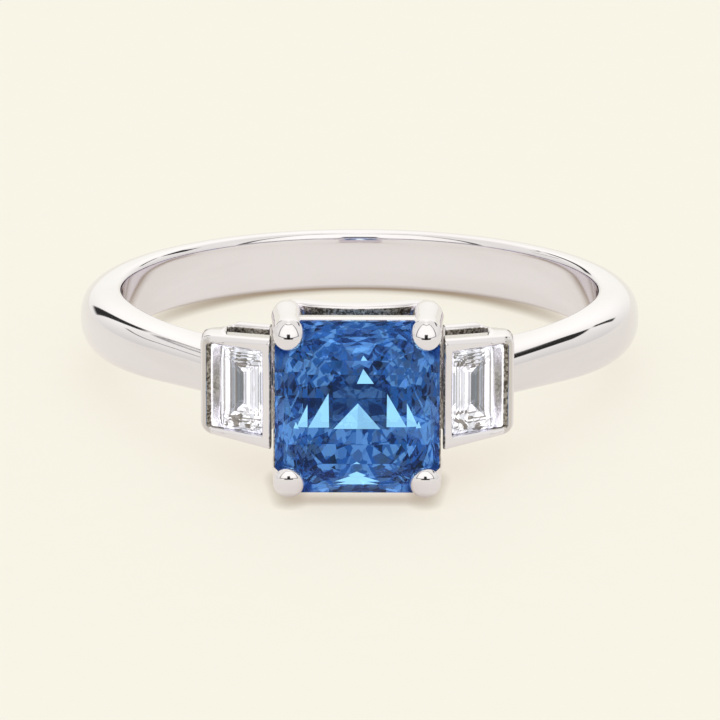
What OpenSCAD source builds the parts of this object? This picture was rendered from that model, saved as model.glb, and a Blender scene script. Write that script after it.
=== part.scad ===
// Three stone ring, lying on its side as it rests by itself. Millimetres.
// Every piece is drawn in the ring's own frame: the finger goes through along Z,
// the centre stone faces -Y and +X is to its right. at_rest() then tips the whole
// ring onto the two lower claw feet and the back of the band.

/* [Finger hole] */
// Inner diameter of the band
finger_d = 17; // [14:0.1:22]
// Rounding radius of the band's inner edges
inner_edge_r = 0.3; // [0.1:0.05:0.4]
// Height of that rounding along the finger
inner_edge_h = 0.26; // [0.08:0.02:0.3]

/* [Band] */
// Width of the band along the finger, at its back and sides
band_w = 2.2; // [1.8:0.1:4]
// Thickness of the band at its back and sides
band_t = 1.5; // [1.2:0.05:2]
// Radius of the band's outer face across its width
face_r = 1.8; // [1.2:0.1:6]
// Radius between the band's outer face and its side faces
edge_r = 0.8; // [0.3:0.05:0.85]
// Width of a shoulder where it meets its side setting
shoulder_w = 1.78; // [1.4:0.02:2.2]
// Thickness of a shoulder where it meets its side setting
shoulder_t = 2.05; // [1.8:0.05:2.6]
// Distance in front of the finger hole's middle at which the shoulders start to narrow
taper_start = 1; // [0:0.5:3]
// Thickness of the bridge under the centre setting
bridge_t = 2.2; // [1.8:0.05:3]

/* [Centre stone] */
// Width of the centre stone across the ring
centre_w = 5.5; // [4:0.1:8]
// Height of the centre stone along the finger
centre_h = 5.9; // [4:0.1:8]
// Length cropped from each corner of the centre stone
centre_corner = 0.85; // [0.5:0.05:1.2]
// Height of the centre stone's crown above its girdle
centre_crown = 0.7; // [0.4:0.05:1.2]
// Depth of the centre stone's pavilion below its girdle
centre_pavilion = 2.3; // [1.6:0.1:3]
// Thickness of the centre stone's girdle
centre_girdle = 0.12; // [0.05:0.01:0.3]

/* [Centre setting] */
// Rise of the centre stone's girdle above the finger hole
head_rise = 4.92; // [4.5:0.02:6]
// Diameter of each claw and its ball tip
claw_d = 1.09; // [0.8:0.01:1.4]
// Rise of each ball tip's centre in front of the centre stone's girdle
claw_tip_rise = 0.12; // [0:0.02:0.3]
// Distance of each claw's axis inside the centre stone's edges
claw_inset = 0.41; // [0.3:0.01:0.6]
// Lip of the seat rail outside the centre stone
seat_lip = 0.05; // [0.03:0.01:0.2]
// Depth of the seat rail below the girdle
seat_depth = 0.56; // [0.4:0.02:0.9]
// Wire diameter of the arched gallery rails
gallery_d = 0.6; // [0.4:0.02:0.9]
// Rise of each arched gallery rail towards the stone at its middle
gallery_arch = 0.38; // [0.1:0.02:0.8]
// Wire diameter of the two bars between the claw feet
foot_bar_d = 0.84; // [0.6:0.02:1.2]

/* [Side stones] */
// Width of each side stone
side_w = 2.09; // [1.5:0.05:3]
// Height of each side stone along the finger
side_h = 2.86; // [2:0.05:4]
// Length cropped from each corner of a side stone
side_corner = 0.08; // [0.04:0.02:0.3]
// Height of a side stone's crown above its girdle
side_crown = 0.32; // [0.2:0.02:0.5]
// Depth of a side stone's pavilion below its girdle
side_pavilion = 1.1; // [0.7:0.05:1.3]
// Thickness of a side stone's girdle
side_girdle = 0.08; // [0.04:0.01:0.2]

/* [Side settings] */
// Turn of each side stone away from the centre stone's plane
side_turn = 34; // [25:1:45]
// Distance of a side setting's front corner behind the centre stone's girdle
side_setback = 1.43; // [1:0.05:2]
// Gap between a side setting and the claws beside it
side_gap = 0.04; // [0.02:0.01:0.15]
// Metal beside each side stone
side_wall = 0.31; // [0.2:0.01:0.6]
// Metal above and below a side stone at the shoulder
rim_outer = 0.19; // [0.15:0.01:0.5]
// Metal above and below a side stone at the centre setting
rim_inner = 0.37; // [0.2:0.01:0.6]
// Depth of the rim round a side stone
rim_depth = 0.75; // [0.6:0.05:1]
// Corner rounding of a side setting at the shoulder
rim_corner_r = 0.36; // [0.2:0.02:0.5]
// Thickness of the wall between a gallery window and the shoulder
end_wall = 0.78; // [0.5:0.02:1]
// Rise of the curved rail behind a gallery window above the finger hole
rail_rise = 1.2; // [0.9:0.05:1.6]
// Thickness of the curved rail behind a gallery window
rail_t = 0.45; // [0.3:0.05:0.8]

/* [Fits] */
// Gap between a stone and its setting
stone_gap = 0.02; // [0.01:0.01:0.05]

/* [Hidden] */
$fn = 64;
ring_fn = 128;
hull_fn = 32;
overcut = 1;
run_on = 5;
finger_r = finger_d / 2;
claw_r = claw_d / 2;
girdle_y = -finger_r - head_rise;
claw_x = centre_w / 2 - claw_inset;
claw_z = centre_h / 2 - claw_inset;
foot_y = -finger_r - bridge_t;
tip_y = girdle_y - claw_tip_rise;
// A side setting's front face runs from its inner end beside the claws to its outer end.
side_span = side_w + 2 * (stone_gap + side_wall);
inner_x = claw_x + claw_r + side_gap;
inner_y = girdle_y + side_setback;
outer_x = inner_x + side_span * cos(side_turn);
outer_y = inner_y + side_span * sin(side_turn);
half_rim_inner = side_h / 2 + stone_gap + rim_inner;
half_rim_outer = side_h / 2 + stone_gap + rim_outer;
rail_r = finger_r + rail_rise;
block_back_y = -sqrt(pow(rail_r, 2) - pow(outer_x, 2));
window_x = outer_x - end_wall;
gap_x = inner_x - side_gap / 2;
// Angles from the centre stone where a shoulder ends at its setting, and where it leaves the
// band's circle: from there it runs straight on, which thickens it to shoulder_t.
shoulder_end = asin(outer_x / (finger_r + shoulder_t));
shoulder_start = shoulder_end + acos((finger_r + band_t) / (finger_r + shoulder_t));
shoulder_end_y = -(finger_r + shoulder_t) * cos(shoulder_end);
metal_colour = [0.87, 0.86, 0.84];
sapphire_colour = [0.14, 0.34, 0.72];
diamond_colour = [0.93, 0.95, 0.98];

// Each row of a cut is the octagon at one depth of a stone: its size as a share of the girdle's,
// and its depth as a share of the crown's height (above 0) or of the pavilion's (below 0).
size_share = 0;
depth_share = 1;
centre_over_shares = [[0.60, 1], [0.84, 0.62], [1, 0]];
centre_under_shares = [[1, 0], [0.80, -0.38], [0.46, -0.74], [0.04, -1]];
side_over_shares = [[0.62, 1], [0.80, 0.68], [1, 0]];
side_under_shares = [[1, 0], [0.78, -0.38], [0.46, -0.74], [0.06, -1]];
straight_shares = [[1, 1]];

function unit(v) = v / norm(v);

// The band's outer edge arc, placed so that it meets the side face and the outer face smoothly.
edge_z = band_w / 2 - edge_r;
edge_x = finger_r + band_t - face_r + sqrt(pow(face_r - edge_r, 2) - pow(edge_z, 2));

// Tip of the ring: the floor touches the claw feet and the rounded lower edge of the band's back.
foot_to_back = [edge_x - foot_y, claw_z - edge_z];
rest_tilt = atan2(foot_to_back[1], foot_to_back[0]) - asin((edge_r - claw_r) / norm(foot_to_back));

module at_rest() {
    rotate([-rest_tilt, 0, 0]) children();
}

module both_sides() {
    children();
    mirror([1, 0, 0]) children();
}

// The band's section, which reaches inside the finger hole until finger_hole() cuts it true.
module band_section() {
    face_x = finger_r + band_t - face_r;
    inner_x = finger_r - band_t;
    translate([inner_x, -band_w / 2]) square([edge_x - inner_x, band_w]);
    for (side = [-1, 1]) translate([edge_x, side * edge_z]) circle(edge_r);
    intersection() {
        translate([face_x, 0]) circle(face_r);
        polygon([[face_x, 0], [face_x, 0] + 2 * face_r * unit([edge_x - face_x, -edge_z]),
            [face_x, 0] + 2 * face_r * unit([edge_x - face_x, edge_z])]);
    }
}

// The round part of the band, and a straight shoulder on each side towards the settings. The
// round part runs on a little inside the shoulders, so that they overlap.
module band_and_shoulders() {
    circle_start = shoulder_start - run_on;
    shoulder_length = ((finger_r + band_t) * sin(shoulder_start) - outer_x + end_wall / 2)
        / cos(shoulder_start);
    intersection() {
        union() {
            rotate([0, 0, circle_start - 90])
                rotate_extrude(angle = 360 - 2 * circle_start, $fn = ring_fn) band_section();
            both_sides() rotate([0, 0, shoulder_start - 90]) rotate([90, 0, 0])
                linear_extrude(shoulder_length) band_section();
        }
        shoulder_taper();
    }
    bridge();
}

// A wedge seen from the side, which narrows the shoulders towards the settings.
module shoulder_taper() {
    half = band_w / 2;
    slope = (half - shoulder_w / 2) / (-taper_start - shoulder_end_y);
    front = -girdle_y;
    front_half = half - slope * (front - taper_start);
    back = 2 * finger_r;
    rotate([90, 0, 90]) linear_extrude(4 * finger_r, center = true)
        polygon([[-front, -front_half], [-taper_start, -half], [-taper_start, -band_w], [back, -band_w],
            [back, band_w], [-taper_start, band_w], [-taper_start, half], [-front, front_half]]);
}

// The band's front, hidden under the settings.
module bridge() {
    intersection() {
        cylinder(h = shoulder_w, r = finger_r + bridge_t, center = true, $fn = ring_fn);
        translate([0, -2 * finger_r, 0])
            cube([2 * outer_x - end_wall, 2.4 * finger_r, band_w], center = true);
    }
}

// The finger hole: a true bore whose ends flare to round the band's inner edges.
module finger_hole() {
    flare_z = band_w / 2 - inner_edge_h;
    rotate_extrude($fn = ring_fn) difference() {
        translate([0, -band_w]) square([finger_r + inner_edge_r, 2 * band_w]);
        for (side = [-1, 1])
            translate([finger_r + inner_edge_r, side * flare_z]) circle(inner_edge_r);
        translate([finger_r, -flare_z]) square([2 * inner_edge_r, 2 * flare_z]);
    }
}

// Octagon of half sides a and b whose corners are cropped by c.
function octagon(a, b, c) = [
    [a, c - b], [a, b - c], [a - c, b], [c - a, b], [-a, b - c], [-a, c - b], [c - a, -b], [a - c, -b]];
// The same octagon moved outwards by grow on all its sides.
function girdle_outline(a, b, c, grow) = octagon(a + grow, b + grow, c + (2 - sqrt(2)) * grow);

// A cut stone facing +Z with its girdle's middle at the origin, grown all round by grow.
// Each octagon loses as much of its height as of its width, so a long stone keeps a keel.
module cut_stone(w, h, corner, crown, pavilion, girdle, over, under, grow = 0) {
    ring = function (share, z)
        let (loss = w / 2 * (1 - share))
        [for (p = girdle_outline(w / 2 - loss, h / 2 - loss, corner * share, grow)) [p[0], p[1], z]];
    rings = concat(
        [for (row = over) ring(row[size_share], girdle / 2 + row[depth_share] * (crown + grow))],
        [for (row = under) ring(row[size_share], -girdle / 2 + row[depth_share] * (pavilion + grow))]);
    last = len(rings) - 1;
    polyhedron(
        points = [for (r = rings) each r],
        faces = concat(
            [[for (j = [7:-1:0]) j]],
            [[for (j = [0:7]) last * 8 + j]],
            [for (i = [0:last - 1], j = [0:7])
                [i * 8 + j, i * 8 + (j + 1) % 8, (i + 1) * 8 + (j + 1) % 8, (i + 1) * 8 + j]]));
}

module centre_cut_stone(grow = 0) {
    translate([0, girdle_y, 0]) rotate([90, 0, 0])
        cut_stone(centre_w, centre_h, centre_corner, centre_crown, centre_pavilion,
            centre_girdle, centre_over_shares, centre_under_shares, grow);
}

// Moves a thing drawn facing +Z to the middle of the right side setting's front face.
module on_right_face() {
    translate([(inner_x + outer_x) / 2, (inner_y + outer_y) / 2, 0])
        rotate([0, 0, side_turn]) rotate([90, 0, 0]) children();
}

module right_cut_stone() {
    on_right_face() translate([0, 0, -side_crown - side_girdle / 2 - stone_gap])
        cut_stone(side_w, side_h, side_corner, side_crown, side_pavilion,
            side_girdle, side_over_shares, side_under_shares);
}

module claw(x_side, z_side) {
    translate([x_side * claw_x, 0, z_side * claw_z]) {
        translate([0, tip_y, 0]) sphere(claw_r);
        translate([0, foot_y, 0]) sphere(claw_r);
        translate([0, foot_y, 0]) rotate([90, 0, 0]) cylinder(h = foot_y - tip_y, r = claw_r);
    }
}

// A rail between two claw feet that arches towards the stone at its middle.
module gallery_rail(z_side) {
    arc_r = (pow(claw_x, 2) + pow(gallery_arch, 2)) / (2 * gallery_arch);
    half_arc = asin(claw_x / arc_r);
    translate([0, foot_y - gallery_arch + arc_r, z_side * claw_z])
        rotate([0, 0, -90 - half_arc]) rotate_extrude(angle = 2 * half_arc)
            translate([arc_r, 0]) circle(d = gallery_d);
}

module foot_bar(x_side) {
    translate([x_side * claw_x, foot_y, -claw_z]) cylinder(h = 2 * claw_z, d = foot_bar_d);
}

module seat_rail() {
    translate([0, girdle_y + centre_girdle / 2 + seat_depth, 0]) rotate([90, 0, 0])
        linear_extrude(seat_depth)
            polygon(girdle_outline(centre_w / 2, centre_h / 2, centre_corner, seat_lip));
}

module claw_head() {
    difference() {
        union() {
            for (x_side = [-1, 1]) {
                foot_bar(x_side);
                for (z_side = [-1, 1]) claw(x_side, z_side);
            }
            for (z_side = [-1, 1]) gallery_rail(z_side);
            seat_rail();
        }
        centre_cut_stone(stone_gap);
    }
}

// Front outline of the right side setting, taller beside the claws than at the shoulder.
module right_setting_outline() {
    inner_r = side_wall / 4;
    hull() for (z_side = [-1, 1]) {
        translate([inner_x + inner_r, z_side * (half_rim_inner - inner_r)])
            circle(inner_r, $fn = hull_fn);
        translate([outer_x - rim_corner_r, z_side * (half_rim_outer - rim_corner_r)])
            circle(rim_corner_r, $fn = hull_fn);
    }
}

// The right side setting before its window and pocket are cut.
module right_setting_block() {
    difference() {
        intersection() {
            translate([0, block_back_y, 0]) rotate([90, 0, 0])
                linear_extrude(block_back_y - inner_y + overcut) right_setting_outline();
            linear_extrude(2 * half_rim_inner + overcut, center = true)
                polygon([[inner_x, inner_y], [outer_x, outer_y], [outer_x, block_back_y],
                    [inner_x, block_back_y]]);
        }
        cylinder(h = 2 * half_rim_inner + 2 * overcut, r = rail_r, center = true, $fn = ring_fn);
    }
}

// The gallery window behind the right rim, open along the finger and towards the claws.
module right_window() {
    front_y = inner_y + rim_depth / cos(side_turn);
    difference() {
        linear_extrude(2 * half_rim_inner + overcut, center = true)
            polygon([[gap_x, front_y - (inner_x - gap_x) * tan(side_turn)],
                [window_x, front_y + (window_x - inner_x) * tan(side_turn)],
                [window_x, block_back_y], [gap_x, block_back_y]]);
        cylinder(h = 2 * half_rim_inner + 2 * overcut, r = rail_r + rail_t, center = true, $fn = ring_fn);
    }
}

// The right stone's pocket: straight down past its girdle, then a seat that follows its pavilion.
module right_pocket() {
    on_right_face() translate([0, 0, -side_crown - side_girdle / 2 - stone_gap])
        cut_stone(side_w, side_h, side_corner, side_crown + overcut, side_pavilion,
            side_girdle, straight_shares, side_under_shares, stone_gap);
}

module shank_and_settings() {
    color(metal_colour) at_rest() {
        difference() {
            union() {
                band_and_shoulders();
                both_sides() right_setting_block();
            }
            finger_hole();
            both_sides() {
                right_window();
                right_pocket();
            }
        }
        claw_head();
    }
}

module centre_stone() {
    color(sapphire_colour) at_rest() centre_cut_stone();
}

module left_side_stone() {
    color(diamond_colour) at_rest() mirror([1, 0, 0]) right_cut_stone();
}

module right_side_stone() {
    color(diamond_colour) at_rest() right_cut_stone();
}

shank_and_settings();
centre_stone();
left_side_stone();
right_side_stone();
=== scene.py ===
import math

import bmesh
import bpy
import numpy as np
from mathutils import Matrix, Vector


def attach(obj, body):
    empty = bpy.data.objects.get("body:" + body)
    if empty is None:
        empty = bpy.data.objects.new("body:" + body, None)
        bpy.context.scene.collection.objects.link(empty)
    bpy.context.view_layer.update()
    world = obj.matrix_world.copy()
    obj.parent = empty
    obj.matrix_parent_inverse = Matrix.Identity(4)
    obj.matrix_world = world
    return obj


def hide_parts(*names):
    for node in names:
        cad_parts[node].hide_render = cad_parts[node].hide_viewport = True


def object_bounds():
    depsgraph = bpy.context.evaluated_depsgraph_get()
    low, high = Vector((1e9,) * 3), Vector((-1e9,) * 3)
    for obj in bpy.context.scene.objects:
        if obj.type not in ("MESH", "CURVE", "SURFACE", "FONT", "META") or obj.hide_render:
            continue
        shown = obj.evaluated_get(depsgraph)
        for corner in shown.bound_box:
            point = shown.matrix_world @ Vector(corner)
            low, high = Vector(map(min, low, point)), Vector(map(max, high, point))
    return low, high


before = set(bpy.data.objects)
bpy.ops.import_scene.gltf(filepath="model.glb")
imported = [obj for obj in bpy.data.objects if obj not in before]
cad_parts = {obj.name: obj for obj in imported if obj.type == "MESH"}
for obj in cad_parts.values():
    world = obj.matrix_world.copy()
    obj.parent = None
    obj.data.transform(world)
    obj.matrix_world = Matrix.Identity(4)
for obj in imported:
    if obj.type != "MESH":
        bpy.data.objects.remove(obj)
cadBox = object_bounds()
print("frame loaded:", sorted(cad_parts))

# The ring is worked out in its own frame, in millimetres: the finger goes through along Z, the
# centre stone faces -Y. Lying on the floor it is tipped by this angle about X.
ring = {
    "restTilt": 5.70584,  # degrees
    "holeRadius": 8.5,
    "headShift": -0.07,  # the stones and their settings sit a little to the left
    "smallest": 0.0005,  # below this, points count as one
    "millimetre": 0.001,  # in metres
}


def toFloor(points):
    # y' = y cos(tilt) + z sin(tilt), z' = z cos(tilt) - y sin(tilt), then millimetres to metres
    tilt = math.radians(ring["restTilt"])
    x, y, z = np.moveaxis(np.asarray(points, float), -1, 0)
    along = y * math.cos(tilt) + z * math.sin(tilt)
    up = z * math.cos(tilt) - y * math.sin(tilt)
    return np.stack([x, along, up], -1) * ring["millimetre"]


def gridQuads(rows, cols, wrapRows=False):
    # quad (i, j) joins point (i, j) to its next neighbours along both directions of the grid; the
    # last column joins the first, and with wrapRows the last row joins the first too
    i, j = np.meshgrid(np.arange(rows if wrapRows else rows - 1), np.arange(cols), indexing="ij")
    nextI, nextJ = (i + 1) % rows, (j + 1) % cols
    quads = np.stack([i * cols + j, i * cols + nextJ, nextI * cols + nextJ, nextI * cols + j], -1)
    return quads.reshape(-1, 4)


def capped(points, rows, cols):
    # a tube of rows rings with cols points each, closed by one flat face at each end
    faces = gridQuads(rows, cols).tolist()
    faces.append(list(range(cols)))
    faces.append(list(range((rows - 1) * cols, rows * cols)))
    return points.reshape(-1, 3), faces


def onSide(shell, side):
    # a shell for the right (1) or left (-1) side of the head: x becomes side x + shift
    points, faces = shell
    return points * np.array([side, 1.0, 1.0]) + np.array([ring["headShift"], 0.0, 0.0]), faces


def fromMiddle(points):
    # how far points lie to either side of the head's middle
    return np.abs(points[:, 0] - ring["headShift"])


def makePiece(name, shells, material, nodes, smooth=True, marks=None):
    # joins closed shells of (points, faces) into one object whose normals point outwards; marks
    # are functions of the points, kept on the mesh for the material to read
    points = np.concatenate([p for p, _ in shells])
    faces, start = [], 0
    for p, f in shells:
        faces += [[start + k for k in face] for face in f]
        start += len(p)
    mesh = bpy.data.meshes.new(name)
    mesh.from_pydata(toFloor(points).tolist(), [], faces)
    for mark, values in (marks or {}).items():
        layer = mesh.attributes.new(mark, "FLOAT", "POINT")
        layer.data.foreach_set("value", values(points).astype(np.float32))
    bm = bmesh.new()
    bm.from_mesh(mesh)
    bmesh.ops.remove_doubles(bm, verts=bm.verts, dist=ring["smallest"] * ring["millimetre"])
    bmesh.ops.recalc_face_normals(bm, faces=bm.faces)
    bm.to_mesh(mesh)
    bm.free()
    mesh.materials.append(material)
    piece = bpy.data.objects.new(name, mesh)
    bpy.context.scene.collection.objects.link(piece)
    if smooth:
        mesh.shade_smooth()
        flat = piece.modifiers.new("flat faces", "WEIGHTED_NORMAL")
        flat.mode = "FACE_AREA"
        flat.weight = 100  # the largest faces alone decide
        flat.keep_sharp = True
    else:
        mesh.shade_flat()
    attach(piece, "root")
    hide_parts(*nodes)
    return piece


def numberFaces(mesh):
    # face k gets the fraction of 0.618 k, so that neighbours differ
    numbers = mesh.attributes.new("facet", "FLOAT", "FACE")
    numbers.data.foreach_set("value", (np.arange(len(mesh.polygons)) * 0.618 % 1).astype(np.float32))


def smoothStep(value, start, end):
    # 0 before start, 1 after end, and 3t^2 - 2t^3 between them
    t = np.clip((value - start) / (end - start), 0, 1)
    return t * t * (3 - 2 * t)


class Sock:
    # one output socket; arithmetic on it adds Math nodes, and node() adds any other kind

    def __init__(self, tree, out=None):
        self.tree, self.out = tree, out

    def node(self, kind, settings=None, inputs=None, output=0):
        # settings are the node's own, inputs are values or links by socket name or number
        node = self.tree.nodes.new(kind)
        for key, value in (settings or {}).items():
            setattr(node, key, value)
        for key, value in (inputs or {}).items():
            if isinstance(value, Sock):
                self.tree.links.new(value.out, node.inputs[key])
            else:
                node.inputs[key].default_value = value
        return Sock(self.tree, node.outputs[output] if len(node.outputs) else None)

    def maths(self, operation, *others):
        return self.node("ShaderNodeMath", {"operation": operation}, dict(enumerate((self, *others))))

    def __add__(self, other):
        return self.maths("ADD", other)

    def __sub__(self, other):
        return self.maths("SUBTRACT", other)

    def __rsub__(self, other):
        return self.node("ShaderNodeMath", {"operation": "SUBTRACT"}, {0: other, 1: self})

    def __mul__(self, other):
        return self.maths("MULTIPLY", other)

    def __gt__(self, other):
        return self.maths("GREATER_THAN", other)

    def __lt__(self, other):
        return self.maths("LESS_THAN", other)

    def __abs__(self):
        return self.maths("ABSOLUTE")

    def __neg__(self):
        return self * -1.0

    __radd__, __rmul__ = __add__, __mul__

    def stretch(self, low, high, toLow=0.0, toHigh=1.0):
        # smooth change from toLow to toHigh as this value goes from low to high
        return self.node(
            "ShaderNodeMapRange", {"interpolation_type": "SMOOTHSTEP"},
            {"Value": self, "From Min": low, "From Max": high, "To Min": toLow, "To Max": toHigh},
        )

    def within(self, middle, half, soft):
        # 1 where this value is within half of the middle, and 0 beyond a soft edge
        inner, outer = (1 - soft) * half, (1 + soft) * half + 2 * soft
        return 1 - abs(self - middle).stretch(inner, outer)

    def mix(self, first, second):
        # the first colour where this value is 0, the second where it is 1
        return self.node("ShaderNodeMix", {"data_type": "RGBA"}, {0: self, 6: first, 7: second}, 2)

    def times(self, factors):
        # a vector or colour with each part multiplied by its own factor
        return self.node("ShaderNodeVectorMath", {"operation": "MULTIPLY"}, {0: self, 1: factors})

    def dot(self, direction):
        return self.node("ShaderNodeVectorMath", {"operation": "DOT_PRODUCT"}, {0: self, 1: direction}, 1)

    def mark(self, name):
        # a number kept on the mesh
        return self.node("ShaderNodeAttribute", {"attribute_name": name}, {}, 2)

    def noise(self, scale, detail, roughness=0.5):
        return self.node(
            "ShaderNodeTexNoise", {},
            {"Vector": self, "Scale": scale, "Detail": detail, "Roughness": roughness},
        )

    def cells(self, scale):
        # Voronoi cells, each with its own random colour
        return self.node("ShaderNodeTexVoronoi", {}, {"Vector": self, "Scale": scale}, 1)


def newMaterial(name):
    # an empty material, and its Object coordinates
    material = bpy.data.materials.new(name)
    material.use_nodes = True
    material.node_tree.nodes.clear()
    return material, Sock(material.node_tree).node("ShaderNodeTexCoord", output=3)


def shade(place, inputs):
    # ends a material with one Principled shader
    shader = place.node("ShaderNodeBsdfPrincipled", {}, inputs)
    place.node("ShaderNodeOutputMaterial", {}, {"Surface": shader})


def ringPlace(place):
    # Object coordinates turned back by the resting tilt, in millimetres: dot products with the
    # ring's own X, Y and Z as they lie on the floor
    tilt = math.radians(ring["restTilt"])
    axes = (1, 0, 0), (0, math.cos(tilt), -math.sin(tilt)), (0, math.sin(tilt), math.cos(tilt))
    return [place.dot(Vector(axis) / ring["millimetre"]) for axis in axes]


metalLook = {
    "colour": (0.82, 0.793, 0.865, 1.0),
    "warmer": (0.775, 0.742, 0.805, 1.0),
    # painted shade, for the ring's own shade mirrored in the rims
    "paintedShadeTone": (0.66, 0.625, 0.64, 1.0),  # on the outer bars of the settings' rims
    "roughness": 0.04,
    "streaks": (1.0, 1.0, 6.0),  # the drift in tone changes faster along Z
    "drift": (130.0, 3.0),  # each noise's scale per metre, and its detail
    "driftTones": (0.35, 0.7),
    "rub": (5200.0, 3.0),
    "grain": (9000.0, 4.0, 0.7),  # and roughness
    "grainTones": (0.42, 0.62),
    "driftGloss": 0.03,  # what the noises add to the roughness
    "rubGloss": 0.02,
    "rubHeight": 0.006,  # as a share of the cast grain's height
    "bumpStrength": 0.6,
    "bumpHeight": 0.00004,
    "recessShadeDark": (0.09, 0.075, 0.06, 1.0),  # painted shade in the recesses, on rough metal
    "recessShadeLight": (0.50, 0.46, 0.42, 1.0),
    "castRoughness": 0.42,
}


def polishedMetal():
    # bright polish whose tone and gloss drift a little, painted shade on the rims' outer bars, and rougher
    # metal with painted shade in the recesses
    material, place = newMaterial("polished metal")
    look = metalLook
    drift = place.times(look["streaks"]).noise(*look["drift"])
    rub, grain = place.noise(*look["rub"]), place.noise(*look["grain"])
    inside, paintedRimShade = place.mark("recess"), place.mark("paintedRimShade")
    polish = drift.stretch(*look["driftTones"]).mix(look["colour"], look["warmer"])
    # painted shade on the rims' outer bars
    polish = paintedRimShade.mix(polish, look["paintedShadeTone"])
    # painted shade in the recesses: a dark grainy tone
    recessShade = grain.stretch(*look["grainTones"]).mix(look["recessShadeDark"], look["recessShadeLight"])
    gloss = look["roughness"] + look["driftGloss"] * drift + look["rubGloss"] * rub
    bump = place.node(
        "ShaderNodeBump", {},
        {"Strength": look["bumpStrength"], "Distance": look["bumpHeight"],
         "Height": look["rubHeight"] * rub + inside * grain},
    )
    shade(place, {
        "Base Color": inside.mix(polish, recessShade), "Metallic": 1.0,
        "Roughness": gloss + inside * (look["castRoughness"] - gloss), "Normal": bump,
    })
    return material


metal = polishedMetal()


band = {
    "thickness": 1.4897,
    "halfWidth": 1.105,
    "shoulderHalfWidth": 0.885,
    "slimming": (30, 75),  # degrees from the centre stone, over which the band reaches its width
    "lip": 0.25,  # how far the inner rounding reaches out
    "lipHeight": 0.26,
    "squareness": 2.5,  # power of the rounded outer section, higher is squarer
    "shoulderSquareness": 3.4,
    "straightFrom": 48.14,  # degrees from the centre stone, where the shoulders leave the circle
    "shoulderEnd": 29.0,
    "windowStart": 26.2,  # where it has got as thin as behind the windows
    "underRail": 1.55,  # thickness there
    "bridgeEnds": (16.6, 15.0),  # degrees, where the bridge under the head starts and is whole
    "bridge": 2.15,  # its thickness
    "stations": 540,
    "sectionPoints": 30,
    "lipPoints": 10,
    "borePoints": 5,
}


def bandSection(angle):
    # outer half: out = lip + (thickness - lip) cos(t)^(2/n), high = halfWidth sin(t)^(2/n);
    # inner rounding: a quarter ellipse from the side face to the bore; mirrored below; where the
    # shoulders run straight, thickness = circle / cos(lean) - holeRadius
    degrees = np.abs(angle)[:, None]
    slim = 1 - smoothStep(degrees, *band["slimming"])
    high = band["halfWidth"] + slim * (band["shoulderHalfWidth"] - band["halfWidth"])
    power = band["squareness"] + slim * (band["shoulderSquareness"] - band["squareness"])
    circle = ring["holeRadius"] + band["thickness"]
    lean = np.radians(np.clip(band["straightFrom"] - degrees, 0, band["straightFrom"] - band["shoulderEnd"]))
    thick = circle / np.cos(lean) - ring["holeRadius"]
    behindWindow = 1 - smoothStep(degrees, band["windowStart"], band["shoulderEnd"])
    thick = thick + behindWindow * (band["underRail"] - thick)
    bridgeStart, bridgeWhole = band["bridgeEnds"]
    thick = thick + (1 - smoothStep(degrees, bridgeWhole, bridgeStart)) * (band["bridge"] - thick)
    t = np.linspace(0, math.pi / 2, band["sectionPoints"])[None, :]
    s = np.linspace(0, math.pi / 2, band["lipPoints"])[None, 1:]
    bore = np.linspace(1, 0, band["borePoints"])[None, 1:]
    side = high - band["lipHeight"] * (1 - np.cos(s))
    out = np.concatenate([
        band["lip"] + (thick - band["lip"]) * np.cos(t) ** (2 / power),
        band["lip"] * (1 - np.sin(s)) + 0 * high, 0 * high * bore,
    ], 1)
    rise = np.concatenate([high * np.sin(t) ** (2 / power), side, side[:, -1:] * bore], 1)
    return np.concatenate([out, out[:, -2:0:-1]], 1), np.concatenate([rise, -rise[:, -2:0:-1]], 1)


def bandShell():
    # the section carried round the finger: x = r sin(a), y = -r cos(a)
    angle = np.linspace(-180, 180, band["stations"], endpoint=False)
    out, rise = bandSection(angle)
    radius = ring["holeRadius"] + out
    turn = np.radians(angle)[:, None]
    points = np.stack([radius * np.sin(turn), -radius * np.cos(turn), rise], -1)
    return points.reshape(-1, 3), gridQuads(*rise.shape, wrapRows=True).tolist()


makePiece("band", [bandShell()], metal, ["shank_and_settings"])
print("band made")


centreCut = {
    "halfWidth": 2.745,
    "halfHeight": 2.945,
    "crop": 0.85,
    "girdleY": -13.42,
    "girdle": 0.12,
    "crown": 0.70,
    "table": 0.60,  # size share
    "star": (0.80, 0.66),  # size share, depth share
    "pavilion": 2.25,
    "pavilionRows": [(0.86, 0.27), (0.70, 0.50), (0.50, 0.70), (0.30, 0.86), (0.13, 0.96)],
}

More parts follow.
